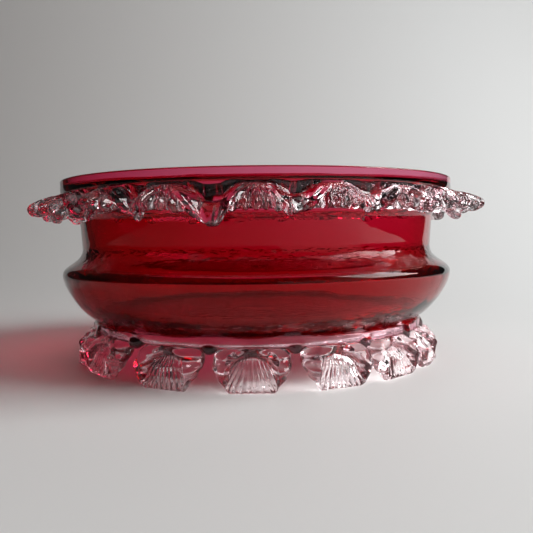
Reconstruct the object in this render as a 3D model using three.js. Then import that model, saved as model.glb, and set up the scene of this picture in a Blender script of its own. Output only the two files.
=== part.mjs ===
// Cranberry glass bowl: a ruby bowl cased in clear glass, with a clear crimped frill laid
// round its flared mouth and a clear trail round its base, pinched into ribbed shell feet.
// Millimetres, +Z up. The origin is the centre of the circle that the feet stand on, and
// the first foot and the first pad of the frill face about -Y.
import * as THREE from 'three';

// Bowl: outside radii, and the heights stacked from the table to the lip
const BASE_RADIUS = 76; // flat underside
const BELLY_RADIUS = 94.8; // widest ring of the belly
const NECK_RADIUS = 85.6; // waist above the shoulder
const LIP_RADIUS = 95; // upright lip
const NECK_SPREAD = 0.8; // how much the neck has widened where the flare starts
const BASE_LIFT = 19.5; // table to the underside of the bowl
const BELLY_RISE = 22.2; // underside to the widest ring
const SHOULDER_RISE = 12.3; // widest ring to the bottom of the neck
const NECK_RISE = 12; // bottom of the neck to the flare
const FLARE_RISE = 15; // bottom of the flare to the upright lip
const LIP_RISE = 4; // upright lip
const LIP_ROUND = 0.7; // melted edge of the lip

// Shape of the curves between those rings, as shares of their width or height
const BELLY_TURN = 0.45;
const BELLY_FULLNESS = 0.7;
const SHOULDER_BEND = 0.42;
const FLARE_START = 0.37;
const FLARE_END = 0.53;

// Glass layers: ruby inside, clear casing outside
const CASING_WALL = 2.1;
const RUBY_WALL = 1.2;
const SEAM_GAP = 0.3; // between pieces of glass that touch
const PONTIL_RADIUS = 12; // ground hollow under the base
const PONTIL_DEPTH = 0.9;

// Frill: a clear trail crimped into flat ribbed pads with drooping folds between them
const PAD_COUNT = 20;
const PAD_NUDGES = { 1: -0.9, 2: -1.8, 3: -3.1, 4: -2, 5: -1, 16: 1, 17: 2, 18: 1.8, 19: -2 }; // degrees
const PAD_SHARE = 0.68; // share of the pitch that a pad takes
const PAD_REACH = 15.6; // how far a pad stands out past the lip
const PAD_DROP = 11.5; // from the top of the trail down to the underside of a pad's tip
const PAD_THICKNESS = 5.2;
const PAD_RIBS = 5;
const RIB_HEIGHT = 0.45;
const PAD_CORNER = 0.22; // how far a pad's corners have turned towards the fold
const FOLD_REACH = 4.5;
const FOLD_DROP = 15;
const FOLD_THICKNESS = 4.4;
const FRILL_BELOW_LIP = 6; // top of the trail below the top of the lip
const FRILL_BAND = 9; // height of the trail where it lies on the bowl

// Base trail and the shell feet that are pinched from it
const FOOT_COUNT = 16;
const FOOT_TURN = -1.7; // degrees from -Y to the first foot
const FOOT_NUDGES = {
  1: 1.2, 2: -0.4, 3: -1.8, 4: -1, 10: -1, 11: -2, 12: -3, 13: -4, 14: -4.9, 15: -1.1,
}; // degrees
const TRAIL_HEIGHT = 4;
const TRAIL_WIDTH = 10;
const TRAIL_OVERHANG = 5; // how far the trail stands out past the flat underside
const TRAIL_ROUND = 1.5; // melted edges of the trail
const LINK_DROP = 2.4; // bead of the trail that hangs between two feet
const LINK_SWELL = 2; // how far the bead stands out past the trail
const LINK_SHARE = 0.14; // share of the pitch that the bead takes
const FOOT_CLEARANCE = 2.8; // between two feet at their widest
const FOOT_SPLAY = 7.5; // how far the toe stands outside the top of the foot
const FOOT_THICKNESS = 4.2;
const WING_THICKNESS = 6.2; // the unpressed glass on each side of the shell
const SHELL_RIBS = 7;
const SHELL_RIB_HEIGHT = 0.5;

const ROUND_STEPS = 40; // flats of the turned glass

const rimHeight = BASE_LIFT + BELLY_RISE + SHOULDER_RISE + NECK_RISE + FLARE_RISE + LIP_RISE;

const ruby = { color: 0xa3122c, roughness: 0.05, metalness: 0 };
const clear = { color: 0xd8d2d4, roughness: 0.06, metalness: 0 };

function piece(name, geometry, look) {
  const mesh = new THREE.Mesh(geometry, new THREE.MeshStandardMaterial(look));
  mesh.name = name;
  return mesh;
}

// Outside of the wall, from the centre of the underside to the top of the lip, in radius
// and height: each curve with the number of steps that its bend needs.
function wallCurves() {
  const at = (radius, height) => new THREE.Vector2(radius, height);
  const bellyTop = BASE_LIFT + BELLY_RISE;
  const neckBottom = bellyTop + SHOULDER_RISE;
  const flareBottom = neckBottom + NECK_RISE;
  const flareTop = flareBottom + FLARE_RISE;
  const neckTopRadius = NECK_RADIUS + NECK_SPREAD;
  const turnRadius = BASE_RADIUS + (BELLY_RADIUS - BASE_RADIUS) * BELLY_TURN;
  const bendHeight = bellyTop + SHOULDER_RISE * SHOULDER_BEND;
  return [
    [new THREE.LineCurve(at(0, BASE_LIFT), at(BASE_RADIUS, BASE_LIFT)), 1],
    [new THREE.CubicBezierCurve(
      at(BASE_RADIUS, BASE_LIFT),
      at(turnRadius, BASE_LIFT),
      at(BELLY_RADIUS, BASE_LIFT + BELLY_RISE * BELLY_FULLNESS),
      at(BELLY_RADIUS, bellyTop),
    ), 5],
    [new THREE.CubicBezierCurve(
      at(BELLY_RADIUS, bellyTop),
      at(BELLY_RADIUS, bendHeight),
      at(NECK_RADIUS, bendHeight),
      at(NECK_RADIUS, neckBottom),
    ), 5],
    [new THREE.LineCurve(at(NECK_RADIUS, neckBottom), at(neckTopRadius, flareBottom)), 1],
    [new THREE.CubicBezierCurve(
      at(neckTopRadius, flareBottom),
      at(neckTopRadius, flareBottom + FLARE_RISE * FLARE_START),
      at(LIP_RADIUS, flareBottom + FLARE_RISE * FLARE_END),
      at(LIP_RADIUS, flareTop),
    ), 4],
    [new THREE.LineCurve(at(LIP_RADIUS, flareTop), at(LIP_RADIUS, rimHeight)), 1],
  ];
}

// The wall as points with the direction that the wall runs in there
function wallSamples() {
  const samples = [];
  for (const [curve, steps] of wallCurves()) {
    for (let i = 0; i < steps; i += 1) {
      samples.push({ point: curve.getPoint(i / steps), along: curve.getTangent(i / steps) });
    }
  }
  samples.push({ point: new THREE.Vector2(LIP_RADIUS, rimHeight), along: new THREE.Vector2(0, 1) });
  return samples;
}

const wall = wallSamples();

// A point square to the wall, at a depth into the glass
function intoGlass({ point, along }, depth) {
  return new THREE.Vector2(point.x - along.y * depth, point.y + along.x * depth);
}

// One layer of the wall between two depths, with its lip rounded on the sides that are open
function layerProfile(outerDepth, innerDepth, roundOutside) {
  const outside = wall.map((sample) => intoGlass(sample, outerDepth));
  const inside = wall.map((sample) => intoGlass(sample, innerDepth)).reverse();
  const edge = roundOutside ? outside.at(-1) : inside[0];
  const inwards = roundOutside ? -LIP_ROUND : LIP_ROUND;
  const crown = new THREE.Vector2(edge.x + inwards, edge.y);
  edge.y -= LIP_ROUND;
  return [...outside, crown, ...inside];
}

function lathe(profile) {
  const geometry = new THREE.LatheGeometry(profile, ROUND_STEPS);
  return geometry.rotateX(Math.PI / 2);
}

function casing() {
  const profile = layerProfile(0, CASING_WALL, true);
  const pontil = [
    new THREE.Vector2(0, BASE_LIFT + PONTIL_DEPTH),
    new THREE.Vector2(PONTIL_RADIUS * 0.6, BASE_LIFT + PONTIL_DEPTH * 0.7),
    new THREE.Vector2(PONTIL_RADIUS, BASE_LIFT),
  ];
  return lathe([...pontil, ...profile.slice(1)]);
}

function rubyLayer() {
  const depth = CASING_WALL + SEAM_GAP;
  return lathe(layerProfile(depth, depth + RUBY_WALL, false));
}

// The outside of the flared wall between two heights, as points from the lower to the upper
// that stay clear of the glass by the seam
function flaredFace(bottom, top) {
  const face = wall.map((sample) => intoGlass(sample, -SEAM_GAP));
  const inside = face.filter((point) => point.x > NECK_RADIUS && point.y > bottom && point.y < top);
  const cut = (height) => {
    const above = face.findIndex((point, i) => i > 1 && point.y >= height);
    const upper = face[above];
    const lower = face[above - 1];
    return lower.clone().lerp(upper, (height - lower.y) / (upper.y - lower.y));
  };
  return [cut(bottom), ...inside, cut(top)];
}

// A point from radius, angle from -Y in radians, and height
function around(radius, angle, height) {
  return new THREE.Vector3(radius * Math.sin(angle), -radius * Math.cos(angle), height);
}

// Skin over loops of points that follow one another. A row that isn't joined end to end
// gets a flat cap on its first and last loop.
function skin(loops, joined) {
  const size = loops[0].length;
  const index = [];
  const bands = joined ? loops.length : loops.length - 1;
  for (let i = 0; i < bands; i += 1) {
    const here = i * size;
    const next = ((i + 1) % loops.length) * size;
    for (let j = 0; j < size; j += 1) {
      const k = (j + 1) % size;
      index.push(here + j, here + k, next + k);
      index.push(here + j, next + k, next + j);
    }
  }
  if (!joined) {
    const outline = loops[0].map((point) => new THREE.Vector2(point.x, point.y));
    const top = (loops.length - 1) * size;
    const lastOutline = loops.at(-1).map((point) => new THREE.Vector2(point.x, point.y));
    for (const [a, b, c] of THREE.ShapeUtils.triangulateShape(outline, [])) {
      index.push(c, b, a);
    }
    for (const [a, b, c] of THREE.ShapeUtils.triangulateShape(lastOutline, [])) {
      index.push(top + a, top + b, top + c);
    }
  }
  const positions = loops.flat().flatMap((point) => [point.x, point.y, point.z]);
  const geometry = new THREE.BufferGeometry();
  geometry.setAttribute('position', new THREE.Float32BufferAttribute(positions, 3));
  geometry.setIndex(index);
  geometry.computeVertexNormals();
  return geometry;
}

const blend = THREE.MathUtils.lerp;

// Section of the frill where it is `fold` folded (0 on a pad, 1 in the middle of a fold) and
// `rib` proud: a curved tongue that leaves the flare, reaches out and droops.
function frillSection(fold, rib) {
  const top = rimHeight - FRILL_BELOW_LIP;
  const bottom = top - FRILL_BAND;
  const face = flaredFace(bottom, top);
  const half = blend(PAD_THICKNESS, FOLD_THICKNESS, fold) / 2 + rib;
  const tipRadius = LIP_RADIUS + blend(PAD_REACH, FOLD_REACH, fold) - half;
  const tipHeight = top - blend(PAD_DROP, FOLD_DROP, fold) + half;
  const root = face[0].clone().lerp(face.at(-1), 0.5);
  const elbow = new THREE.Vector2(blend(tipRadius, root.x, 0.45), blend(top, tipHeight, 0.3));
  const spine = new THREE.QuadraticBezierCurve(root, elbow, new THREE.Vector2(tipRadius, tipHeight));
  const section = [...face];
  const side = (share, sign) => {
    const along = spine.getTangent(share);
    const point = spine.getPoint(share);
    return new THREE.Vector2(point.x - along.y * half * sign, point.y + along.x * half * sign);
  };
  const end = spine.getTangent(1);
  const tip = spine.getPoint(1);
  section.push(side(0.55, 1), side(1, 1));
  section.push(new THREE.Vector2(tip.x + end.x * half, tip.y + end.y * half));
  section.push(side(1, -1), side(0.6, -1));
  return section;
}

// Angle from -Y to a piece of hand work that is repeated round the bowl. Some landed a
// little off their even place.
function handPlace(number, count, nudges) {
  const even = 2 * Math.PI * number / count;
  return even + THREE.MathUtils.degToRad(nudges[(number + count) % count] ?? 0);
}

function frill() {
  const padSteps = PAD_RIBS * 2;
  const stations = [];
  for (let step = 0; step <= padSteps; step += 1) {
    const rib = step % 2 === 1 ? RIB_HEIGHT : 0;
    const across = 2 * step / padSteps - 1;
    stations.push({ across, fold: PAD_CORNER * across ** 4, rib });
  }
  const loops = [];
  const lay = (angle, fold, rib) => {
    loops.push(frillSection(fold, rib).map((point) => around(point.x, angle, point.y)));
  };
  for (let pad = 0; pad < PAD_COUNT; pad += 1) {
    const [before, middle, after] = [pad - 1, pad, pad + 1]
      .map((number) => handPlace(number, PAD_COUNT, PAD_NUDGES));
    for (const { across, fold, rib } of stations) {
      const gap = across < 0 ? middle - before : after - middle;
      lay(middle + across * PAD_SHARE / 2 * gap, fold, rib);
    }
    for (const [share, fold] of [[0.2, 0.65], [0.5, 1], [0.8, 0.65]]) {
      lay(blend(middle, after, PAD_SHARE / 2 + (1 - PAD_SHARE) * share), fold, 0);
    }
  }
  return skin(loops, true);
}

// Section of the base trail: a flat band under the bowl whose outer side hangs down as a
// bead where `link` is 1, between two feet
function trailSection(link) {
  const top = BASE_LIFT - SEAM_GAP;
  const outer = BASE_RADIUS + TRAIL_OVERHANG;
  const inner = outer - TRAIL_WIDTH;
  const bottom = top - TRAIL_HEIGHT;
  const middle = (top + bottom) / 2;
  const swell = link * LINK_SWELL;
  const bead = bottom - link * LINK_DROP;
  return [
    new THREE.Vector2(inner, middle),
    new THREE.Vector2(inner + TRAIL_ROUND, top),
    new THREE.Vector2(outer - 2 * TRAIL_ROUND, top),
    new THREE.Vector2(outer - TRAIL_ROUND / 2 + swell / 2, top - TRAIL_ROUND / 2),
    new THREE.Vector2(outer + swell, blend(middle, bead, 0.2)),
    new THREE.Vector2(outer - TRAIL_ROUND / 2 + swell, blend(middle, bead, 0.8)),
    new THREE.Vector2(outer - 2 * TRAIL_ROUND, bead),
    new THREE.Vector2(inner + TRAIL_ROUND, bottom),
  ];
}

const footPitch = (2 * Math.PI) / FOOT_COUNT;

function footAngle(number) {
  return THREE.MathUtils.degToRad(FOOT_TURN) + handPlace(number, FOOT_COUNT, FOOT_NUDGES);
}

function baseTrail() {
  const loops = [];
  const bead = LINK_SHARE / 2;
  const stations = [[-0.5, 1], [bead - 0.5, 0.8], [1.5 * bead - 0.5, 0], [0, 0],
    [0.5 - 1.5 * bead, 0], [0.5 - bead, 0.8]];
  for (let foot = 0; foot < FOOT_COUNT; foot += 1) {
    for (const [place, link] of stations) {
      const neighbour = place < 0 ? foot - 1 : foot + 1;
      const angle = blend(footAngle(foot), footAngle(neighbour), Math.abs(place));
      loops.push(trailSection(link).map((point) => around(point.x, angle, point.y)));
    }
  }
  return skin(loops, true);
}

// Shell foot from the table up: shares of its height, its half width, its pressed fan's half
// width and its splay. It is widest where it has WIDEST_SPLAY of its splay.
const WIDEST_SPLAY = 0.8;
const FOOT_LEVELS = [
  { height: 0, width: 0.6, fan: 0.52, splay: 0.96 },
  { height: 0.1, width: 0.72, fan: 0.62, splay: 1 },
  { height: 0.45, width: 1, fan: 0.58, splay: WIDEST_SPLAY },
  { height: 0.8, width: 0.94, fan: 0.4, splay: 0.32 },
  { height: 1, width: 0.76, fan: 0.28, splay: 0 },
];

function footLevel({ height, width, fan, splay }) {
  const top = BASE_LIFT - TRAIL_HEIGHT - 2 * SEAM_GAP;
  const topRadius = BASE_RADIUS + TRAIL_OVERHANG - WING_THICKNESS / 2;
  const widestRadius = topRadius + FOOT_SPLAY * WIDEST_SPLAY;
  const halfWidth = (widestRadius * footPitch - FOOT_CLEARANCE) / 2;
  const middle = topRadius + FOOT_SPLAY * splay;
  const half = halfWidth * width;
  const fanHalf = halfWidth * fan;
  const wingFront = middle + WING_THICKNESS / 2;
  const wingBack = middle - WING_THICKNESS / 2;
  const wing = (half + fanHalf) / 2;
  const level = [[-half, middle], [-wing, wingFront]];
  const steps = SHELL_RIBS * 2;
  for (let step = 0; step <= steps; step += 1) {
    const proud = step % 2 === 1 ? SHELL_RIB_HEIGHT : 0;
    level.push([fanHalf * (2 * step / steps - 1), middle + FOOT_THICKNESS / 2 + proud]);
  }
  level.push([wing, wingFront], [half, middle], [wing, wingBack], [0, middle - FOOT_THICKNESS / 2]);
  level.push([-wing, wingBack]);
  return level.map(([across, out]) => new THREE.Vector3(across, -out, top * height));
}

function foot(number) {
  const mesh = piece(`foot_${String(number + 1).padStart(2, '0')}`,
    skin(FOOT_LEVELS.map(footLevel), false), clear);
  mesh.rotation.z = footAngle(number);
  return mesh;
}

const bowl = new THREE.Group();
bowl.add(piece('bowl_ruby', rubyLayer(), ruby));
bowl.add(piece('bowl_casing', casing(), clear));
bowl.add(piece('frill', frill(), clear));
bowl.add(piece('base_trail', baseTrail(), clear));
for (let number = 0; number < FOOT_COUNT; number += 1) {
  bowl.add(foot(number));
}

export default bowl;
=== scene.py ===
# %% [markdown]
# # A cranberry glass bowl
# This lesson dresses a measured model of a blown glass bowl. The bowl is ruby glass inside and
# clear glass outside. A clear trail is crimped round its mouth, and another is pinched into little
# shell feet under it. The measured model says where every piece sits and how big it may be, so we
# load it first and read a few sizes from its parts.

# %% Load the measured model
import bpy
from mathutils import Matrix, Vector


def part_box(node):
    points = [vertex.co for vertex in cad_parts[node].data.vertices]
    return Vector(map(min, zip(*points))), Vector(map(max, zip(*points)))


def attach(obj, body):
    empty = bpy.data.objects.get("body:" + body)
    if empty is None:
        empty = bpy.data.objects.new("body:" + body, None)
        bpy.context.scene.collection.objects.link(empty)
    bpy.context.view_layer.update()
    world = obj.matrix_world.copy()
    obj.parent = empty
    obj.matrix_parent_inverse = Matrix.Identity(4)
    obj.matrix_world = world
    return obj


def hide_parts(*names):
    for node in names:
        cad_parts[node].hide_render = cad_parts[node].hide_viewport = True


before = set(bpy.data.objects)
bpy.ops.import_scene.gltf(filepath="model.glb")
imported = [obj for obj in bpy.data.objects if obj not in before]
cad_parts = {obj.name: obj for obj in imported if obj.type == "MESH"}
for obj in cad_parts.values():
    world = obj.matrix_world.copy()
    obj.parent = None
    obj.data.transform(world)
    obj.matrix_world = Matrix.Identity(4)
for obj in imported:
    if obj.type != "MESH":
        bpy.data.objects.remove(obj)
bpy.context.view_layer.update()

# %% [markdown]
# ## Tools
# Blender's mesh operators live in `bmesh`. Round glass is spun from an outline, and a hand
# shaped trail starts as a fine grid that is rolled up and drawn out. `mathutils` brings the
# vectors, the Bezier curves and the smooth noise that makes hand work uneven.

# %% Imports and units
import math
import random
import bmesh
import bpy
from mathutils import Matrix, Vector, noise
from mathutils.geometry import interpolate_bezier
MM = 0.001
FULL_TURN = 2 * math.pi
print("one millimetre is", MM, "of Blender's metres")


# %% [markdown]
# ## Small helpers
# Every piece goes through the same last steps: its double points are merged, its faces are turned
# outwards and shaded smooth, it gets its material, it is tied to the body, and the nodes of the
# model that it stands for are hidden. One helper does it, so no piece can miss a step. It also
# counts the edges that don't lie between just two faces. A hole would bend the light wrongly, but a
# few edges where the skin touches itself do no harm.

# %% Finish a piece
MERGE_WITHIN = 0.0005 * MM


def finish_piece(name, bm, material, nodes):
    bmesh.ops.remove_doubles(bm, verts=bm.verts, dist=MERGE_WITHIN)
    bmesh.ops.recalc_face_normals(bm, faces=bm.faces)
    if bm.calc_volume(signed=True) < 0:
        bmesh.ops.reverse_faces(bm, faces=bm.faces)
    holes = sum(1 for edge in bm.edges if edge.is_boundary)
    touching = sum(1 for edge in bm.edges if len(edge.link_faces) > 2)
    print(name, "holds", round(bm.calc_volume() / MM ** 3), "cubic mm, with", holes,
          "edges at a hole and", touching, "where it touches itself")
    for face in bm.faces:
        face.smooth = len(face.verts) == 4
    mesh = bpy.data.meshes.new(name)
    bm.to_mesh(mesh)
    bm.free()
    mesh.materials.append(material)
    piece = bpy.data.objects.new(name, mesh)
    bpy.context.scene.collection.objects.link(piece)
    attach(piece, "root")
    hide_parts(*nodes)
    print(name, "has", len(mesh.polygons), "faces")


# %% [markdown]
# Two little curves of number do most of the shaping: an eased step from 0 to 1, and a smooth
# line through a few values. A maker would call the second one a template. A curve object
# could do the same, but these are quick to read and can be asked at any place.

# %% Eased steps and templates
def blend(low, high, share):
    return low + (high - low) * share


def ease(low, high, value):
    share = min(max((value - low) / (high - low), 0), 1)
    return share * share * (3 - 2 * share)


def template(points, value):
    for (x0, y0), (x1, y1) in zip(points, points[1:]):
        if value <= x1:
            return blend(y0, y1, ease(x0, x1, value))
    return points[-1][1]


print("an eased step, a quarter of the way along:", ease(0, 1, 0.25))


# %% [markdown]
# ## The wall of the bowl
# The outline runs from the flat underside round the belly, in over the shoulder, up the neck
# and out to the upright lip. Each bend is one Bezier curve whose handles lie along the flats
# beside it, so the bends flow into one another as blown glass does. It could be drawn by hand
# in the viewport, but the named sizes of the measured model keep it true. They are in
# millimetres. The lip's radius and the heights of the rim and the underside are read from
# the model itself.

# %% Measure the outline
BASE_RADIUS = 76
BELLY_RADIUS = 94.8
NECK_RADIUS = 85.6
NECK_SPREAD = 0.8
LIP_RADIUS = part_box("bowl_casing")[1][0] / MM
RIM_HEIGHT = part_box("bowl_casing")[1][2] / MM
BASE_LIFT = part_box("bowl_casing")[0][2] / MM
BELLY_RISE = 22.2
SHOULDER_RISE = 12.3
NECK_RISE = 12
LIP_RISE = 4
BELLY_TOP = BASE_LIFT + BELLY_RISE
NECK_BOTTOM = BELLY_TOP + SHOULDER_RISE
FLARE_BOTTOM = NECK_BOTTOM + NECK_RISE
FLARE_TOP = RIM_HEIGHT - LIP_RISE
print("lip radius", LIP_RADIUS, "rim height", RIM_HEIGHT, "underside", BASE_LIFT)

# %% [markdown]
# The shares below say where the handles of a bend lie. A longer handle keeps the curve on its
# flat for longer before it turns. The step counts say how finely each stretch is divided.

# %% Draw the outline
FLAT_STEPS = 20
BEND_STEPS = 18
NECK_STEPS = 6
LIP_STEPS = 4
BELLY_TURN = 0.45
BELLY_BEND = 0.7
SHOULDER_BEND = 0.42
FLARE_START = 0.37
FLARE_END = 0.53


def at(radius, height):
    return Vector((radius * MM, 0, height * MM))


def bend(start, first_handle, second_handle, end):
    return interpolate_bezier(start, first_handle, second_handle, end, BEND_STEPS + 1)[:-1]


def wall_outline():
    flat = [at(BASE_RADIUS * step / FLAT_STEPS, BASE_LIFT) for step in range(FLAT_STEPS)]
    turn = blend(BASE_RADIUS, BELLY_RADIUS, BELLY_TURN)
    side = BASE_LIFT + BELLY_BEND * BELLY_RISE
    belly = bend(at(BASE_RADIUS, BASE_LIFT), at(turn, BASE_LIFT),
                 at(BELLY_RADIUS, side), at(BELLY_RADIUS, BELLY_TOP))
    fold = BELLY_TOP + SHOULDER_BEND * SHOULDER_RISE
    shoulder = bend(at(BELLY_RADIUS, BELLY_TOP), at(BELLY_RADIUS, fold),
                    at(NECK_RADIUS, fold), at(NECK_RADIUS, NECK_BOTTOM))
    top = NECK_RADIUS + NECK_SPREAD
    neck = [at(blend(NECK_RADIUS, top, step / NECK_STEPS),
               blend(NECK_BOTTOM, FLARE_BOTTOM, step / NECK_STEPS))
            for step in range(NECK_STEPS)]
    rise = FLARE_TOP - FLARE_BOTTOM
    flare = bend(at(top, FLARE_BOTTOM), at(top, FLARE_BOTTOM + FLARE_START * rise),
                 at(LIP_RADIUS, FLARE_BOTTOM + FLARE_END * rise), at(LIP_RADIUS, FLARE_TOP))
    lip = [at(LIP_RADIUS, blend(FLARE_TOP, RIM_HEIGHT, step / LIP_STEPS))
           for step in range(LIP_STEPS + 1)]
    return flat + belly + shoulder + neck + flare + lip


outline = wall_outline()
print("the outline has", len(outline), "points")


# %% [markdown]
# ## The wall of two glasses
# The ruby glass was gathered first and the clear glass over it, and in the fire they became
# one wall: light doesn't stop at the seam. Two shells could be made, but the gap between them
# would show as a bright skin, so one closed wall stands for both layers. It is the outline
# along the outside and the same outline moved in by the wall's thickness along the inside.
# `THICKNESS` pairs a height with the thickness there: most at the fold of the shoulder and
# at the base, least at the lip.

# %% Move the outline in
FLOOR_THICKNESS = 2.8
FLOOR_EDGE = (0.8, 0.97)
THICKNESS = [(BASE_LIFT, 4.6), (30, 4.0), (46, 4.6), (54, 3.5), (70, 3.2), (79.5, 3.6),
             (81.5, 2.0), (RIM_HEIGHT, 2.0)]


def inside_of_wall():
    moved = []
    last = len(outline) - 1
    for i, point in enumerate(outline):
        along = outline[min(i + 1, last)] - outline[max(i - 1, 0)]
        along.normalize()
        square = Vector((-along.z, 0, along.x))
        thick = template(THICKNESS, point.z / MM)
        to_edge = ease(*FLOOR_EDGE, point.x / (BASE_RADIUS * MM))
        moved.append(point + square * blend(FLOOR_THICKNESS, thick, to_edge) * MM)
    moved[0].x = 0
    moved[-1].z = RIM_HEIGHT * MM
    return moved


inside = inside_of_wall()
print("the inside of the lip has a radius of", round(inside[-1].x / MM, 2), "mm")

# %% [markdown]
# At the lip the two sides are joined by a melted round edge. Under the bowl is the small
# hollow where the iron was cracked off. A glass edge without its round would catch no light,
# and the eye would miss it at once.

# %% Close the section of the wall
CROWN_RISE = 0.5 * MM
CROWN_STEPS = 12
PONTIL_RADIUS = 12 * MM
PONTIL_DEPTH = 0.9 * MM


def wall_section(outline, inside):
    outside = [point.copy() for point in outline]
    inside = [point.copy() for point in inside]
    for point in outside:
        point.z += PONTIL_DEPTH * (1 - ease(0.5 * PONTIL_RADIUS, PONTIL_RADIUS, point.x))
    edge = (outside[-1] + inside[-1]) / 2
    half = (outside[-1].x - inside[-1].x) / 2
    crown = []
    for step in range(1, CROWN_STEPS):
        turn = math.pi * step / CROWN_STEPS
        crown.append(edge + Vector((half * math.cos(turn), 0, CROWN_RISE * (math.sin(turn) - 1))))
    outside[-1].z -= CROWN_RISE
    inside[-1].z -= CROWN_RISE
    return outside + crown + inside[::-1]


section = wall_section(outline, inside)
print("the section of the wall has", len(section), "points")


# %% [markdown]
# The trails have to meet the wall, so they ask how far out it is at a height. A ray could be
# cast at the finished mesh, but the outline already knows. The answers are worked out once,
# for every quarter of a millimetre, because the trails ask many thousands of times.

# %% Where the wall is at a height
PER_MM = 4
CLEAR_OF_FLOOR = 0.9


def wall_radius(height):
    least = BASE_RADIUS * MM * CLEAR_OF_FLOOR
    for low, high in zip(outline, outline[1:]):
        if low.x > least and low.z <= height * MM <= high.z and high.z > low.z:
            share = (height * MM - low.z) / (high.z - low.z)
            return blend(low.x, high.x, share) / MM
    return LIP_RADIUS


wall_at = [wall_radius(step / PER_MM) for step in range(int(RIM_HEIGHT * PER_MM) + 1)]


def wall_beside(height):
    return wall_at[min(max(round(height * PER_MM), 0), len(wall_at) - 1)]


print("the neck's radius half way up:", round(wall_beside(NECK_BOTTOM + NECK_RISE / 2), 1))


# %% [markdown]
# Blown glass is never quite true. A slow, faint unevenness bends the reflections the way the
# real wall does. A bump in the material could bend them too, but it changes neither the
# thickness of the wall nor its edges. So the points move, by about a tenth of a millimetre
# and differently on the two sides of the wall. The inside is also a little off centre, so
# the wall is thicker and darker on the left, and the lip dips a little at the front.

# %% Make it look hand blown
UNEVEN = 0.12 * MM
WAVES_PER_METRE = 26
SIDES_APART = 90
OFF_CENTRE = 1.0 * MM
INSIDE_FROM, INSIDE_TO = 1.2 * MM, 1.8 * MM
SHIFT_FROM, SHIFT_TO = BASE_LIFT + 1, BASE_LIFT + 6
LIP_DIP = 1.2 * MM
DIP_FROM, DIP_TO = 76, 84


def hand_blown(spot):
    out = Vector((spot.x, spot.y, 0))
    height = spot.z / MM
    beside = wall_beside(height) * MM - out.length
    if 0.5 * BASE_RADIUS * MM < out.length and height < RIM_HEIGHT - LIP_RISE:
        apart = out.normalized() * out.length * SIDES_APART
        slow = noise.noise(spot * WAVES_PER_METRE + apart)
        spot += out.normalized() * slow * UNEVEN
    if height > SHIFT_FROM:
        within = ease(INSIDE_FROM, INSIDE_TO, beside)
        spot.x += OFF_CENTRE * within * ease(SHIFT_FROM, SHIFT_TO, height)
    front = max(-out.normalized().y, 0)
    spot.z -= LIP_DIP * front ** 2 * ease(DIP_FROM, DIP_TO, height)
    return spot


lip_in_front = hand_blown(Vector((0, -LIP_RADIUS, RIM_HEIGHT)) * MM)
print("the lip in front is", round(lip_in_front.z / MM, 1), "mm high")


# %% [markdown]
# The section is spun once round, as the glass itself was turned on the iron. A Screw modifier
# could do it too. The spin operator gives the points at once, so each of them can be moved.

# %% Spin the wall
ROUND_STEPS = 240


def spun_wall():
    bm = bmesh.new()
    verts = [bm.verts.new(point) for point in section]
    edges = [bm.edges.new(pair) for pair in zip(verts, verts[1:])]
    bmesh.ops.spin(bm, geom=verts + edges, cent=(0, 0, 0), axis=(0, 0, 1),
                   angle=FULL_TURN, steps=ROUND_STEPS, use_merge=True)
    for vert in bm.verts:
        vert.co = hand_blown(vert.co.copy())
    print("the spun wall has", len(bm.verts), "points")
    return bm


# %% [markdown]
# ## Glass that lets light through
# Glass colours light by depth. A coloured surface would be as dark in a thin place as in a
# thick one, so the colour is a Volume Absorption instead. The surface is a Principled shader
# with full transmission, and a faint bump gives the ripple that the fire leaves.
#
# A path tracer can't aim a bent ray at a lamp, so glass gets hard black shadows or a very
# long render. For shadow rays alone, then, the surface only dims the light, and the depth of
# the glass still colours it. For everything else it bends and mirrors light.

# %% Build a glass material
GLASS_IOR = 1.5
RIPPLE_DETAIL = 2.0
SHOWN_DEPTH = 4


def glass(name, ripple, grain, passes, colour, density):
    material = bpy.data.materials.new(name)
    material.use_nodes = True
    nodes = material.node_tree.nodes
    links = material.node_tree.links
    body = nodes["Principled BSDF"]
    body.inputs["Base Color"].default_value = (1, 1, 1, 1)
    body.inputs["Roughness"].default_value = 0.0
    body.inputs["IOR"].default_value = GLASS_IOR
    body.inputs["Transmission Weight"].default_value = 1.0
    place = nodes.new("ShaderNodeTexCoord")
    waves = nodes.new("ShaderNodeTexNoise")
    waves.inputs["Scale"].default_value = grain
    waves.inputs["Detail"].default_value = RIPPLE_DETAIL
    bump = nodes.new("ShaderNodeBump")
    bump.inputs["Strength"].default_value = ripple
    bump.inputs["Distance"].default_value = MM
    links.new(place.outputs["Object"], waves.inputs["Vector"])
    links.new(waves.outputs["Fac"], bump.inputs["Height"])
    links.new(bump.outputs["Normal"], body.inputs["Normal"])
    lets_through = nodes.new("ShaderNodeBsdfTransparent")
    lets_through.inputs["Color"].default_value = (passes, passes, passes, 1)
    path = nodes.new("ShaderNodeLightPath")
    mix = nodes.new("ShaderNodeMixShader")
    links.new(path.outputs["Is Shadow Ray"], mix.inputs["Fac"])
    links.new(body.outputs["BSDF"], mix.inputs[1])
    links.new(lets_through.outputs["BSDF"], mix.inputs[2])
    links.new(mix.outputs["Shader"], nodes["Material Output"].inputs["Surface"])
    depth = nodes.new("ShaderNodeVolumeAbsorption")
    depth.inputs["Color"].default_value = (*colour, 1)
    depth.inputs["Density"].default_value = density
    links.new(depth.outputs["Volume"], nodes["Material Output"].inputs["Volume"])
    left = [round(math.exp(density * (part - 1) * SHOWN_DEPTH * MM), 2) for part in colour]
    print(name, "leaves this much red, green and blue after", SHOWN_DEPTH, "mm:", left)
    return material
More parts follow.
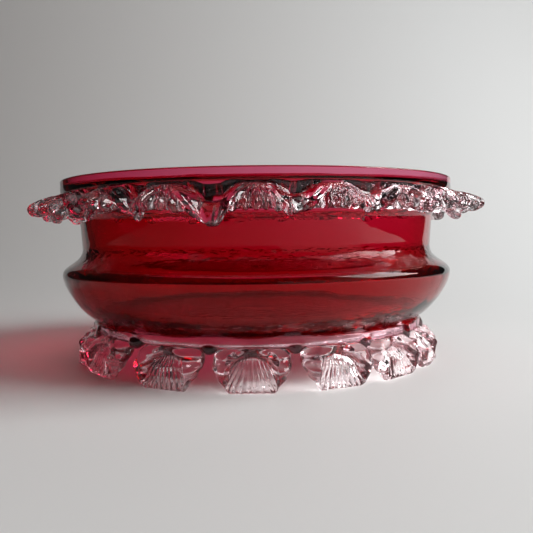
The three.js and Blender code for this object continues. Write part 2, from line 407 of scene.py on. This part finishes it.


# %% [markdown]
# The ruby glass swallows green and blue within a few millimetres. Its mirror is kept weak by
# a grey Specular Tint, or the pale table veils the red.
#
# The glass of the trails is clear on the real bowl, but it doesn't look quite clear. The ruby glass
# beside it throws red light into it, most of all into the trail right under the bowl. Light that
# wanders so far is slow to render, so a trace of rose is painted into the glass as that red light:
# faint in the frill and the feet, and stronger in the base trail.

# %% Mix the glasses
RUBY_MIRROR = (0.35, 0.35, 0.35, 1)
FIRE_RIPPLE = {"ripple": 0.2, "grain": 160}
ruby_glass = glass("ruby_glass", ripple=0.04, grain=70, passes=0.46,
                   colour=(0.9, 0.06, 0.37), density=1000)
ruby_body = ruby_glass.node_tree.nodes["Principled BSDF"]
ruby_body.inputs["Specular Tint"].default_value = RUBY_MIRROR
# The frill's clear glass is tinted a faint rose: painted red light from the ruby glass.
clear_trail = glass("clear_trail", **FIRE_RIPPLE, passes=0.96,
                    colour=(0.85, 0.35, 0.48), density=16)
# The feet and the base trail are tinted rose as well: painted red light, strongest under the bowl.
foot_glass_painted_red_light = glass("foot_glass_painted_red_light", **FIRE_RIPPLE, passes=0.97,
                     colour=(0.93, 0.12, 0.3), density=16)
base_trail_painted_red_light = glass("base_trail_painted_red_light", **FIRE_RIPPLE, passes=0.97,
                      colour=(0.92, 0.15, 0.4), density=60)

# %% [markdown]
# A tool touched the hot bowl in two bands, at the foot of the neck and at the turn of the
# base. There the surface is broken into short level marks that catch the window. Real dents
# would need a very fine mesh, so this is a second bump: a noise squeezed into level streaks,
# with a soft mask by height for each band. A band is its lowest and highest place and the
# depth of its marks.

# %% Leave the marks of the tool
MARKED_BANDS = [(48 * MM, 53.5 * MM, 0.22 * MM), (19.5 * MM, 24.5 * MM, 0.5 * MM)]
MARKS_PER_METRE = 240
MARK_DETAIL = 1.0
LEVEL_SQUEEZE = 3
FADE_OUTSIDE = 1.5 * MM
FADE_INSIDE = 0.5 * MM


def soft_step(nodes, links, height, start, end, before, after):
    step = nodes.new("ShaderNodeMapRange")
    step.interpolation_type = "SMOOTHSTEP"
    step.inputs["From Min"].default_value = start
    step.inputs["From Max"].default_value = end
    step.inputs["To Min"].default_value = before
    step.inputs["To Max"].default_value = after
    links.new(height, step.inputs["Value"])
    return step.outputs["Result"]


def tool_marks(material, bands):
    nodes = material.node_tree.nodes
    links = material.node_tree.links
    place = nodes["Texture Coordinate"].outputs["Object"]
    split = nodes.new("ShaderNodeSeparateXYZ")
    links.new(place, split.inputs["Vector"])
    height = split.outputs["Z"]
    squeeze = nodes.new("ShaderNodeMapping")
    squeeze.inputs["Scale"].default_value = (1, 1, LEVEL_SQUEEZE)
    links.new(place, squeeze.inputs["Vector"])
    scratches = nodes.new("ShaderNodeTexNoise")
    scratches.inputs["Scale"].default_value = MARKS_PER_METRE
    scratches.inputs["Detail"].default_value = MARK_DETAIL
    links.new(squeeze.outputs["Vector"], scratches.inputs["Vector"])
    normal = nodes["Bump"].outputs["Normal"]
    for low, high, depth in bands:
        begins = soft_step(nodes, links, height, low - FADE_OUTSIDE, low + FADE_INSIDE, 0, 1)
        ends = soft_step(nodes, links, height, high - FADE_INSIDE, high + FADE_OUTSIDE, 1, 0)
        both = nodes.new("ShaderNodeMath")
        both.operation = "MULTIPLY"
        links.new(begins, both.inputs[0])
        links.new(ends, both.inputs[1])
        marked = nodes.new("ShaderNodeBump")
        marked.inputs["Distance"].default_value = depth
        links.new(both.outputs["Value"], marked.inputs["Strength"])
        links.new(scratches.outputs["Fac"], marked.inputs["Height"])
        links.new(normal, marked.inputs["Normal"])
        normal = marked.outputs["Normal"]
    links.new(normal, nodes["Principled BSDF"].inputs["Normal"])
    print(material.name, "has tool marks in", len(bands), "bands")


tool_marks(ruby_glass, MARKED_BANDS)

# %% [markdown]
# Now the wall can be made. It stands for two nodes of the model, the ruby glass and the clear
# casing, and wears the ruby glass material.

# %% Make the wall
finish_piece("ruby_wall", spun_wall(), ruby_glass, ["bowl_casing", "bowl_ruby"])


# %% [markdown]
# ## The crimped frill
# A hot trail was laid round the flare and gripped with ribbed pincers at about twenty
# places. Each grip pulled out a flat ribbed pad, and between two grips the soft glass hung
# down in a fold. Sculpting could give one such pad, but twenty of them have to flow into one
# another. So a fine grid is rolled up: one direction of the grid goes round the bowl and the
# other round a bent tongue that leaves the wall, further out on a pad and further down in a
# fold. The two seams of the grid meet and are merged.
#
# No two grips are alike. A seeded random hand varies them all, and then those that the
# photograph shows are set one by one. Places are in pitches of the pads, counted from the
# front towards the right, and the rest is in millimetres. A fold is steep on the side that
# looks to the front and slack on the other.

# %% Hand work is uneven
PAD_COUNT = 20
PAD_REACH = 14.4
PAD_DROOP = 11.3
PLACE_VARIES = (-0.08, 0.08)
REACH_VARIES = (-1.4, -0.1)
SLANT_VARIES = (-2.4, 2.4)
DROOP_VARIES = (-0.9, 0.7)
FOLD_DROPS = (12.2, 14.6)
FOLD_PLACES = (0.44, 0.56)
STEEP_SIDE = 0.13
SLACK_SIDE = 0.24
hand = random.Random(7)
pad_place = [pad + hand.uniform(*PLACE_VARIES) for pad in range(PAD_COUNT)]
pad_reach = [PAD_REACH + hand.uniform(*REACH_VARIES) for pad in range(PAD_COUNT)]
pad_slant = [hand.uniform(*SLANT_VARIES) for pad in range(PAD_COUNT)]
pad_droop = [PAD_DROOP + hand.uniform(*DROOP_VARIES) for pad in range(PAD_COUNT)]
fold_drop = [hand.uniform(*FOLD_DROPS) for pad in range(PAD_COUNT)]
fold_place = [hand.uniform(*FOLD_PLACES) for pad in range(PAD_COUNT)]
fold_sides = [(STEEP_SIDE, SLACK_SIDE) if pad < PAD_COUNT / 2 else (SLACK_SIDE, STEEP_SIDE)
              for pad in range(PAD_COUNT)]
print("the pads reach", round(min(pad_reach), 1), "to", round(max(pad_reach), 1), "mm out")

# %% [markdown]
# These are the pads and folds that the photograph shows well: the pads' places, the reach of
# one, how much higher some of them sit, and the places and drops of the folds after them.

# %% Set the pads that show
SEEN_PLACES = {0: 0, 1: 0.95, 2: 1.9, 3: 2.83, 17: 17.11, 18: 18.1, 19: 18.89}
SEEN_REACHES = {4: 14.5}
SEEN_LIFTS = {3: 1.6, 4: 2.8, 5: 2.2, 16: 1.2, 17: 0.6}
SEEN_FOLD_PLACES = {0: 0.36, 1: 0.36, 18: 0.6, 19: 0.56}
SEEN_FOLD_DROPS = {0: 13.4, 18: 14.6, 19: 17.2}
for values, seen in ((pad_place, SEEN_PLACES), (pad_reach, SEEN_REACHES),
                     (fold_place, SEEN_FOLD_PLACES), (fold_drop, SEEN_FOLD_DROPS)):
    for pad, value in seen.items():
        values[pad] = value
for pad, lift in SEEN_LIFTS.items():
    pad_droop[pad] -= lift
print("the deepest fold hangs", max(fold_drop), "mm down")


# %% [markdown]
# Every place round the bowl belongs to its nearest pad. The helper says which pad that is,
# which pad comes before the fold there, and how far off the pad's middle the place is, as a
# share of the gap to the next pad. The ring closes, so the count goes on past the last pad.

# %% Find a pad and a place on it
def off_the_pad(pitch, pad):
    return (pitch - pad_place[pad] + PAD_COUNT / 2) % PAD_COUNT - PAD_COUNT / 2


def on_frill(turn):
    pitch = turn / FULL_TURN * PAD_COUNT
    pad = min(range(PAD_COUNT), key=lambda i: abs(off_the_pad(pitch, i)))
    place = off_the_pad(pitch, pad)
    after = pad if place > 0 else (pad - 1) % PAD_COUNT
    gap = (pad_place[(after + 1) % PAD_COUNT] - pad_place[after]) % PAD_COUNT
    return pad, after, place / gap


print("a quarter turn round is on pad", on_frill(FULL_TURN / 4)[0])


# %% [markdown]
# Each grip of the pincers left a print like a scallop shell. Its ribs spread from one point
# near the wall to a rounded edge, and the edge is scalloped where the ribs end. An image of
# bumps could fake it, but ribs this bold bend light, so they are real. The fold beside it is
# a drape: the soft glass swings in next to the wall, bulges out a little and hangs.

# %% The print of the pincers and the drape
PAD_END = 0.44
PAD_RIBS = 7
FAN_START = 0.3
LEAST_ALONG = 0.001
FAN_WIDTH = 1.15
FAN_OPENING = math.radians(52)
PRINT_SIDE = (0.86, 1.0)
PRINT_ROOT = (0.05, 0.4)
BULGE_WIDTH = 0.11
BULGE_POWER = 1.2


def shell_print(place, share):
    along = max(share - FAN_START, LEAST_ALONG) / (1 - FAN_START)
    fan = math.atan2(place / PAD_END * FAN_WIDTH, along) / FAN_OPENING
    ridge = abs(math.sin(math.pi * PAD_RIBS / 2 * (min(max(fan, -1), 1) + 1)))
    pressed = (1 - ease(*PRINT_SIDE, abs(fan))) * ease(*PRINT_ROOT, along)
    return ridge, pressed


def drape(after, place):
    from_fold = (place if place > 0 else 1 + place) - fold_place[after]
    side = fold_sides[after][from_fold > 0]
    hangs = math.exp(-(from_fold / side) ** 2)
    bulges = math.exp(-(abs(from_fold) / BULGE_WIDTH) ** BULGE_POWER)
    return hangs, bulges


print("the middle of a pad: ridge and press", shell_print(0, 1))

# %% [markdown]
# These are the trail's own sizes, in millimetres. Its root is sunk a little into the wall,
# because the two were melted together, and a gap between two glasses would show as a mirror.

# %% Measure the frill
FRILL_TOP = RIM_HEIGHT - 5.8
FRILL_BAND = 9
ROOT_LOWER = 0.8
ROOT_HEIGHT = FRILL_TOP - ROOT_LOWER - FRILL_BAND / 2
ROOT_DEPTH = 2
IN_THE_WALL = 0.2
PAD_THICKNESS = 4.8
ROOT_THICKNESS = 6.0
FOLD_THICKNESS = 4.2
WEB_THICKNESS = 3.0
FOLD_REACH = 2.0
BULGE_REACH = 4.2
RIB_HEIGHT = 1.5
RIB_MIDDLE = 0.9
SCALLOP = 1.0
PAD_FLAT = 0.15
ROOT_SPREAD = 0.6
BAND_SHARE = 0.12
WAIST_SHARE = 0.4
TIP_FROM = 0.7
BETWEEN_PADS = (0.3, 0.7)
PAD_ARCH = Vector((0, 4.4))
FOLD_HANG = Vector((1.2, 1.2))
print("the frill is laid on", round(ROOT_HEIGHT, 1), "mm above the table")


# %% [markdown]
# The section of the trail is a bent tongue. Its middle line is a little curve from the root
# in the wall over an elbow to the tip. On a pad the elbow is lifted high, so the pad arches.
# In a fold it is lifted less and pushed out, so the glass hangs. `leaf` is 1 on a pad and 0
# in a fold, and blends the two. The tongue is wide where it was laid on the wall, then has a
# waist, and ends in a round tip.

# %% Bend the tongue
def tongue_tip(pad, after, place, leaf, thick, scallop):
    hangs, bulges = drape(after, place)
    reach = blend(FOLD_REACH + BULGE_REACH * bulges, pad_reach[pad], leaf)
    reach += scallop
    across = place if place > 0 else 1 + place
    droop = blend(pad_droop[after], pad_droop[(after + 1) % PAD_COUNT],
                  ease(*BETWEEN_PADS, across))
    drop = blend(droop + pad_slant[pad] * place * leaf, fold_drop[after], hangs)
    return Vector((LIP_RADIUS + reach - thick / 2, FRILL_TOP - drop + thick / 2))


def tongue_middle(tip, leaf, share):
    root = Vector((wall_beside(ROOT_HEIGHT) - ROOT_DEPTH, ROOT_HEIGHT))
    arched = root.lerp(tip, 0.5) + PAD_ARCH
    hanging = root.lerp(tip, 0.5) + FOLD_HANG
    elbow = hanging.lerp(arched, leaf)
    middle = root.lerp(elbow, share).lerp(elbow.lerp(tip, share), share)
    along = (elbow.lerp(tip, share) - root.lerp(elbow, share)).normalized()
    return middle, along


def tongue_half(thick, leaf, share):
    waist = blend(WEB_THICKNESS, ROOT_THICKNESS, leaf) / 2
    return template([(0, ROOT_SPREAD * FRILL_BAND), (BAND_SHARE, FRILL_BAND / 2),
                     (WAIST_SHARE, waist), (TIP_FROM, thick / 2), (1, thick / 2)], share)


print("half a pad is", tongue_half(PAD_THICKNESS, 1, 1), "mm thick at its tip")

# %% [markdown]
# One number runs round the tongue: from the tip back along its upper face to the root, and
# out again along its lower face. The helper turns it into a share of the way from root to
# tip, a side, and how far round the tip the point is. `frill_point` then sets the point
# beside the middle line, presses the ribs in, and keeps it from going through the wall.

# %% Draw the frill out of a ring
TIP_SHARE = 0.24


def around(radius, turn, height):
    return Vector((radius * math.sin(turn), -radius * math.cos(turn), height)) * MM


def round_the_tongue(round_tongue):
    along = round_tongue / math.pi
    side = 1 if along < 1 else -1
    along = along if along < 1 else 2 - along
    if along < TIP_SHARE:
        turn = math.pi / 2 * along / TIP_SHARE
        return 1, side * math.sin(turn), math.cos(turn)
    return 1 - (along - TIP_SHARE) / (1 - TIP_SHARE), side, 0


def frill_point(turn, round_tongue):
    pad, after, place = on_frill(turn)
    share, up, end = round_the_tongue(round_tongue)
    leaf = 1 - ease(PAD_FLAT, PAD_END, abs(place))
    ridge, pressed = shell_print(place, share)
    thick = blend(FOLD_THICKNESS, PAD_THICKNESS, leaf)
    scallop = SCALLOP * pressed * (ridge - RIB_MIDDLE)
    tip = tongue_tip(pad, after, place, leaf, thick, scallop)
    middle, along = tongue_middle(tip, leaf, share)
    half = tongue_half(thick, leaf, share)
    half += pressed * RIB_HEIGHT * (ridge - RIB_MIDDLE)
    spot = middle + Vector((-along.y, along.x)) * half * up + along * end * half
    spot.x = max(spot.x, wall_beside(spot.y) - IN_THE_WALL)
    return around(spot.x, turn, spot.y)


print("the first pad's tip is at", frill_point(0, 0))

# %% [markdown]
# The grid is made flat, and each of its points is then sent to its place on the ring. The
# first and the last row land on the same places, and the last step merges them.

# %% Make the frill
FRILL_STEPS = PAD_COUNT * 90
TONGUE_POINTS = 48


def drawn_ring(steps, points, shape):
    bm = bmesh.new()
    bmesh.ops.create_grid(bm, x_segments=steps, y_segments=points, size=0.5)
    for vert in bm.verts:
        vert.co = shape((vert.co.x + 0.5) % 1 * FULL_TURN, (vert.co.y + 0.5) % 1 * FULL_TURN)
    return bm


frill_mesh = drawn_ring(FRILL_STEPS, TONGUE_POINTS, frill_point)
finish_piece("crimped_frill", frill_mesh, clear_trail, ["frill"])

# %% [markdown]
# ## The base trail
# The feet were pinched from a trail under the bowl. Between two feet a bead of it hangs down
# and swells a little. A bevelled curve could make the ring, but not the beads, so it is a
# rolled grid as the frill is. Its section is nearly square, because its flat front face shows
# as a pale band in the photograph, and a round one turns dark. Where the feet sit is measured
# first: evenly round the bowl, with a nudge in degrees for those that sit off their place.

# %% Measure the base trail
FOOT_COUNT = 16
FIRST_FOOT = math.radians(-1.7)
FOOT_PITCH = FULL_TURN / FOOT_COUNT
FOOT_NUDGES = {1: 1.2, 2: -0.4, 3: -1.8, 4: -1, 10: -1, 11: -2, 12: -3, 13: -4, 14: -4.9,
               15: -1.1}
TRAIL_OUTER = BASE_RADIUS + 5
TRAIL_INNER = TRAIL_OUTER - 7
TRAIL_TOP = BASE_LIFT + 0.4
TRAIL_BOTTOM = BASE_LIFT - 4.3
TRAIL_SQUARE = 0.35
LINK_DROP = 1.8
LINK_SWELL = 1.4
LINK_SIDE = (0.02, 0.13)
LINK_FRONT = (-0.4, 0.4)


def foot_angle(number):
    nudge = FOOT_NUDGES.get(number % FOOT_COUNT, 0)
    return FIRST_FOOT + number * FOOT_PITCH + math.radians(nudge)


print("the second foot is at", round(math.degrees(foot_angle(1)), 1), "degrees")

# %% [markdown]
# A circle becomes nearly a square when its sine and cosine are raised to a small power. The
# bead is added to the lower and outer part of the section alone, so that the trail's top
# stays melted to the underside of the bowl.

# %% Draw the base trail
TRAIL_STEPS = FOOT_COUNT * 36
TRAIL_POINTS = 24


def squared(value):
    return math.copysign(abs(value) ** TRAIL_SQUARE, value)


def trail_point(turn, round_section):
    near = round((turn - FIRST_FOOT) / FOOT_PITCH)
    after = next(n for n in (near - 1, near, near + 1) if foot_angle(n) <= turn < foot_angle(n + 1))
    place = (turn - foot_angle(after)) / (foot_angle(after + 1) - foot_angle(after))
    link = 1 - ease(*LINK_SIDE, abs(place - 0.5))
    out = squared(math.cos(round_section))
    up = squared(math.sin(round_section))
    outer = TRAIL_OUTER + link * LINK_SWELL * (1 - max(up, 0))
    bottom = TRAIL_BOTTOM - link * LINK_DROP * ease(*LINK_FRONT, out)
    radius = blend(TRAIL_INNER, outer, (out + 1) / 2)
    height = blend(bottom, TRAIL_TOP, (up + 1) / 2)
    return around(radius, turn, height)


trail_mesh = drawn_ring(TRAIL_STEPS, TRAIL_POINTS, trail_point)
finish_piece("base_trail_glass", trail_mesh, base_trail_painted_red_light, ["base_trail"])

# %% [markdown]
# ## The shell feet
# Pincers with a ribbed shell face pressed the middle of each foot thin and left a thick
# smooth wing on each side, full like a drop. The templates below run from the toe at 0 to the
# top at 1. They give a foot's width, the width of its pressed fan, its slope outwards and how
# full its wings are. The pairs at the end say where one form eases into the next.

# %% Measure a foot
FOOT_TOP = TRAIL_BOTTOM + 0.9
FOOT_RADIUS = TRAIL_OUTER - 3.1
FOOT_SPLAY = 7.5
FOOT_GAP = 2.8
WIDEST_SPLAY = 0.8 * FOOT_SPLAY
HALF_WIDTH = (FOOT_PITCH * (FOOT_RADIUS + WIDEST_SPLAY) - FOOT_GAP) / 2
WIDTH = [(0, 0.60), (0.12, 0.68), (0.35, 0.88), (0.6, 1.0), (0.8, 0.98), (1.0, 0.86)]
FAN = [(0, 0.62), (0.15, 0.64), (0.5, 0.52), (0.7, 0.38), (0.9, 0.22), (1.0, 0.14)]
SPLAY = [(0, 0.96), (0.1, 1.0), (0.45, 0.80), (0.8, 0.32), (1.0, 0.0)]
LOBE = [(0, 1.9), (0.62, 5.4), (0.8, 5.0), (1.0, 2.6)]
LEAST_WING = 1
FAN_HALF = 1.2
TOE_HALF = 1.9
ARCH_HALF = 4.2
ARCH_CURVE = 0.12
TOE_ROUND = 0.09
TOE_NARROWS = 0.75
WING_RIM = 0.4
TOE_TO_FAN = (0, 0.3)
FAN_TO_ARCH = (0.74, 1.02)
RIBS_TO_WING = (0.92, 1.05)
RIBS_TO_ARCH = (0.78, 1.0)
print("a foot is", round(2 * HALF_WIDTH, 1), "mm wide and", round(FOOT_TOP, 1), "mm high")

# %% [markdown]
# The ribs of the shell spread from a point above the foot. They waver a little and some are
# stronger than others, because the glass moved in the pincers. Two slow noises do that, one
# for the place of a rib and one for its strength, and each foot reads them a stride further
# on. Towards the table the ribs fade to half.

# %% Press the ribs of a foot
SHELL_RIBS = 8
SHELL_RIB = 3.0
RIB_BED = 0.4
FAN_APEX = 1.2
FAN_SPREAD = 0.62
WAVER = 0.25
WAVER_WAVES = 2.5
WAVER_STRIDE = 9.3
WAVER_CLIMB = 2
STRENGTH = 0.35
STRENGTH_WAVES = 4.2
STRENGTH_STRIDE = 5.7
STRENGTH_START = 3.4
STRENGTH_LAYER = 7
RIB_FADE = (0, 0.15)


def shell_rib(x, rise, number):
    spread = HALF_WIDTH * FAN_SPREAD * (FAN_APEX - rise)
    moved = noise.noise(Vector((WAVER_WAVES * x / spread, WAVER_STRIDE * number,
                                WAVER_CLIMB * rise)))
    waver = 0.5 + WAVER * moved
    ridge = 1 - abs(math.sin(math.pi * (SHELL_RIBS / 2 * x / spread + waver)))
    strong = noise.noise(Vector((STRENGTH_WAVES * x / spread,
                                 STRENGTH_STRIDE * number + STRENGTH_START, STRENGTH_LAYER)))
    uneven = 1 + STRENGTH * strong
    rib = SHELL_RIB * uneven * (FAN_APEX - rise) * blend(0.5, 1, ease(*RIB_FADE, rise))
    return rib * (ridge - RIB_BED)


print("the middle rib half way up:", round(shell_rib(0, 0.5, 0), 2), "mm")


# %% [markdown]
# A foot is a plate: half of its thickness lies in front of its middle and half behind. The
# plate is thin in the fan, thicker at the toe and the arch, and fullest in the wings, which
# swell quickly beside the fan and close in a round side. The ribs are on the front face
# alone, because two ribbed faces behind one another read as twice as many fine lines.

# %% Shape one foot
LEAST_SWELL = 0.01


def wing_swell(beyond):
    if beyond < WING_RIM:
        return ease(0, WING_RIM, beyond)
    return math.sqrt(max(1 - ((beyond - WING_RIM) / (1 - WING_RIM)) ** 2, LEAST_SWELL))


def foot_point(across, front, rise, reach, number):
    half_width = HALF_WIDTH * template(WIDTH, rise)
    fan = min(HALF_WIDTH * template(FAN, rise), half_width - LEAST_WING)
    x = half_width * across
    beyond = max(abs(x) - fan, 0) / (half_width - fan)
    arch = rise + ARCH_CURVE * (x / fan) ** 2
    plate = blend(TOE_HALF, FAN_HALF, ease(*TOE_TO_FAN, rise))
    plate = blend(plate, ARCH_HALF, ease(*FAN_TO_ARCH, arch))
    in_fan = (1 - ease(*RIBS_TO_WING, abs(x) / fan)) * (1 - ease(*RIBS_TO_ARCH, arch))
    plate += in_fan * shell_rib(x, rise, number) * (front > 0)
    if beyond > 0:
        lobe = template(LOBE, rise)
        swell = wing_swell(beyond)
        plate = blend(plate, lobe, swell) if beyond < WING_RIM else lobe * swell
    plate *= math.sqrt(1 - TOE_NARROWS * max(1 - rise / TOE_ROUND, 0) ** 2)
    middle = FOOT_RADIUS + reach * template(SPLAY, rise)
    return Vector((x, -(middle + plate * front), FOOT_TOP * rise)) * MM


print("the toe's front is at", foot_point(0, 1, 0, FOOT_SPLAY, 0))

# %% [markdown]
# A fine grid is rolled round each foot, along the front face and back along the rear face,
# and its two open ends are filled: the flat toe and the top, which melts into the trail. The
# layers are closest near the table, where the toe turns. One foot could be copied sixteen
# times, but each was pinched by itself, so each is made anew with its own reach and ribs.

# %% Make the sixteen feet
ROUND_POINTS = 320
FOOT_LAYERS = 56
FACE_SHARE = 8
LAYERS_DOWN = 0.5
REACH_LESS = 0.5
RIM_MERGE = 0.001 * MM


def foot_mesh(number, reach):
    bm = bmesh.new()
    bmesh.ops.create_grid(bm, x_segments=ROUND_POINTS, y_segments=FOOT_LAYERS, size=0.5)
    for vert in bm.verts:
        round_foot = (vert.co.x + 0.5) % 1 * FULL_TURN
        across = -math.cos(round_foot)
        front = min(max(FACE_SHARE * math.sin(round_foot), -1), 1)
        rise = vert.co.y + 0.5
        rise = blend(rise, rise * rise, LAYERS_DOWN)
        vert.co = foot_point(across, front, rise, reach, number)
    bmesh.ops.remove_doubles(bm, verts=bm.verts, dist=RIM_MERGE)
    rims = [edge for edge in bm.edges if edge.is_boundary]
    bmesh.ops.holes_fill(bm, edges=rims, sides=0)
    turn = Matrix.Rotation(foot_angle(number), 4, "Z")
    bmesh.ops.transform(bm, matrix=turn, verts=bm.verts)
    return bm


for number in range(FOOT_COUNT):
    foot = foot_mesh(number, FOOT_SPLAY + hand.uniform(-REACH_LESS, 0))
    name = f"shell_foot_{number + 1:02d}"
    finish_piece(name, foot, foot_glass_painted_red_light, [f"foot_{number + 1:02d}"])

# %% [markdown]
# ## The table and the backdrop
# The bowl stands on a wide pale table, and a narrow pale sheet rises behind it. Photographers
# curve one sheet from the table up the wall, so that no edge shows. One wide sheet could do
# for both, but its reflection would veil the sides of the neck. So the table is wide and the
# rising sheet only as wide as the picture needs. It starts a hair above the table.

# %% Sweep a pale sheet
TABLE_HALF = 0.8
SHEET_HALF = 0.52
SHEET_START = 0.1
SHEET_LIFT = 0.02 * MM
SHEET_GAP = 0.05 * MM
SWEEP = [Vector((0, 0.15, 0)), Vector((0, 0.42, 0)), Vector((0, 0.62, 0.12)),
         Vector((0, 0.66, 0.6))]
SWEEP_STEPS = 24


def pale_sheet():
    bm = bmesh.new()
    profile = [Vector((0, SHEET_START, SHEET_LIFT))] + interpolate_bezier(*SWEEP, SWEEP_STEPS)
    verts = [bm.verts.new(point + Vector((-SHEET_HALF, 0, 0))) for point in profile]
    edges = [bm.edges.new(pair) for pair in zip(verts, verts[1:])]
    grown = bmesh.ops.extrude_edge_only(bm, edges=edges)["geom"]
    moved = [part for part in grown if isinstance(part, bmesh.types.BMVert)]
    bmesh.ops.translate(bm, verts=moved, vec=(2 * SHEET_HALF, 0, 0))
    bmesh.ops.recalc_face_normals(bm, faces=bm.faces)
    for face in bm.faces:
        face.smooth = True
        if face.normal.z < 0 or face.normal.y > 0.5:
            face.normal_flip()
    bmesh.ops.create_grid(bm, x_segments=1, y_segments=1, size=TABLE_HALF)
    bmesh.ops.translate(bm, verts=bm.verts, vec=(0, 0, -SHEET_GAP))
    mesh = bpy.data.meshes.new("pale_sheet")
    bm.to_mesh(mesh)
    bm.free()
    print("the sheet rises", round(SWEEP[-1].z, 2), "m behind the bowl")
    return mesh


# %% [markdown]
# The paper is rough and pale. In the photograph its left is a little warmer and darker than its
# right. A second lamp could do that but would show in the glass, so the colour itself runs from one
# grey to the other along X: the darker left is painted shade.

# %% Colour the sheet
# LEFT_GREY is darker than RIGHT_GREY as painted shade, where the sheet lies further from the
# window.
LEFT_GREY = (0.67, 0.65, 0.635, 1)
RIGHT_GREY = (0.70, 0.705, 0.70, 1)
GREY_FROM, GREY_TO = -0.35, 0.3
PAPER_ROUGHNESS = 0.6
sheet_material = bpy.data.materials.new("pale_sheet")
sheet_material.use_nodes = True
nodes = sheet_material.node_tree.nodes
links = sheet_material.node_tree.links
paper = nodes["Principled BSDF"]
paper.inputs["Roughness"].default_value = PAPER_ROUGHNESS
place = nodes.new("ShaderNodeTexCoord")
split = nodes.new("ShaderNodeSeparateXYZ")
ramp = nodes.new("ShaderNodeMapRange")
ramp.inputs["From Min"].default_value = GREY_FROM
ramp.inputs["From Max"].default_value = GREY_TO
shade = nodes.new("ShaderNodeMix")
shade.data_type = "RGBA"
shade.inputs["A"].default_value = LEFT_GREY
shade.inputs["B"].default_value = RIGHT_GREY
links.new(place.outputs["Object"], split.inputs["Vector"])
links.new(split.outputs["X"], ramp.inputs["Value"])
links.new(ramp.outputs["Result"], shade.inputs["Factor"])
links.new(shade.outputs["Result"], paper.inputs["Base Color"])
sheet = bpy.data.objects.new("pale_sheet", pale_sheet())
sheet.data.materials.append(sheet_material)
bpy.context.scene.collection.objects.link(sheet)
print("the sheet runs from", LEFT_GREY[:3], "to", RIGHT_GREY[:3])

# %% [markdown]
# ## Light
# A large soft window stands on the right, a little in front of the bowl and fairly low, so it
# throws the red shadow to the left. A weak light from above fills the shadows, and another
# from the front right stands for the lit part of the room, which the neck mirrors. A sun or a
# small lamp would be simpler, but glass shows the shape of each light, so they are large.

# %% Hang the lights
def soft_light(name, place, target, width, height, watts):
    data = bpy.data.lights.new(name, "AREA")
    data.shape = "RECTANGLE"
    data.size = width
    data.size_y = height
    data.energy = watts
    lamp = bpy.data.objects.new(name, data)
    lamp.location = place
    lamp.rotation_euler = (Vector(target) - Vector(place)).to_track_quat("-Z", "Y").to_euler()
    bpy.context.scene.collection.objects.link(lamp)
    print(name, "gives", watts, "watts")


soft_light("window", place=(0.86, -0.2, 0.64), target=(0, -0.3, 0),
           width=0.7, height=0.7, watts=15.8)
soft_light("ceiling", place=(0, -0.2, 1.1), target=(0, 0, 0.05),
           width=1.0, height=0.6, watts=1.3)
soft_light("grey_room", place=(0.7, -0.9, 0.22), target=(0, 0, 0.07),
           width=1.1, height=0.6, watts=1.0)

# %% [markdown]
# The rest of the room is dim, and clear glass needs that: the dark lines that draw its shape
# are the dim room seen through bent glass. A pale world would give softer shadows, but the
# frill and the feet would lose their edges.

# %% Dim the room
DIM_GREY = 0.02
world = bpy.data.worlds.new("dim_room")
world.use_nodes = True
room = world.node_tree.nodes["Background"]
room.inputs["Color"].default_value = (DIM_GREY, DIM_GREY, DIM_GREY, 1)
room.inputs["Strength"].default_value = 1.0
bpy.context.scene.world = world
print("the room is a grey of", DIM_GREY)

# %% [markdown]
# ## Camera
# The photograph was taken from a little below the height of the lip, close by. A camera could
# be turned by eye until it fits, but the curves of the lip, shoulder, base and feet give its
# distance, its height and the angle of view by measure.

# %% Place the camera
PHOTO_SIZE = 533
FOCAL_PIXELS = 590
SENSOR_WIDTH = 36
NEAREST_SEEN = 0.01
CAMERA_DISTANCE = 303.7 * MM
CAMERA_HEIGHT = 58.4 * MM
LOOK_DOWN = math.radians(2.86)
LOOK_RIGHT = math.radians(0.9)
ROLL = math.radians(0.7)
camera_data = bpy.data.cameras.new("camera")
camera_data.sensor_width = SENSOR_WIDTH
camera_data.lens = SENSOR_WIDTH * FOCAL_PIXELS / PHOTO_SIZE
camera_data.clip_start = NEAREST_SEEN
camera = bpy.data.objects.new("camera", camera_data)
heading = Matrix.Rotation(-LOOK_RIGHT, 4, "Z")
tilt = Matrix.Rotation(math.pi / 2 - LOOK_DOWN, 4, "X")
lean = Matrix.Rotation(-ROLL, 4, "Z")
camera.matrix_world = (Matrix.Translation((0, -CAMERA_DISTANCE, CAMERA_HEIGHT))
                       @ heading @ tilt @ lean)
bpy.context.scene.collection.objects.link(camera)
bpy.context.scene.camera = camera
print("lens", round(camera_data.lens, 1), "mm")

# %% [markdown]
# ## Finish
# Light passes many walls of glass here. With too few bounces it would be cut off inside and the
# glass would turn black, so it gets enough of them to come out again.

# %% Settings
GLASS_BOUNCES = 32
MIRROR_BOUNCES = 8
scene = bpy.context.scene
scene.view_settings.view_transform = "Standard"
scene.cycles.max_bounces = GLASS_BOUNCES
scene.cycles.transmission_bounces = GLASS_BOUNCES
scene.cycles.glossy_bounces = MIRROR_BOUNCES
scene.cycles.transparent_max_bounces = 2 * GLASS_BOUNCES
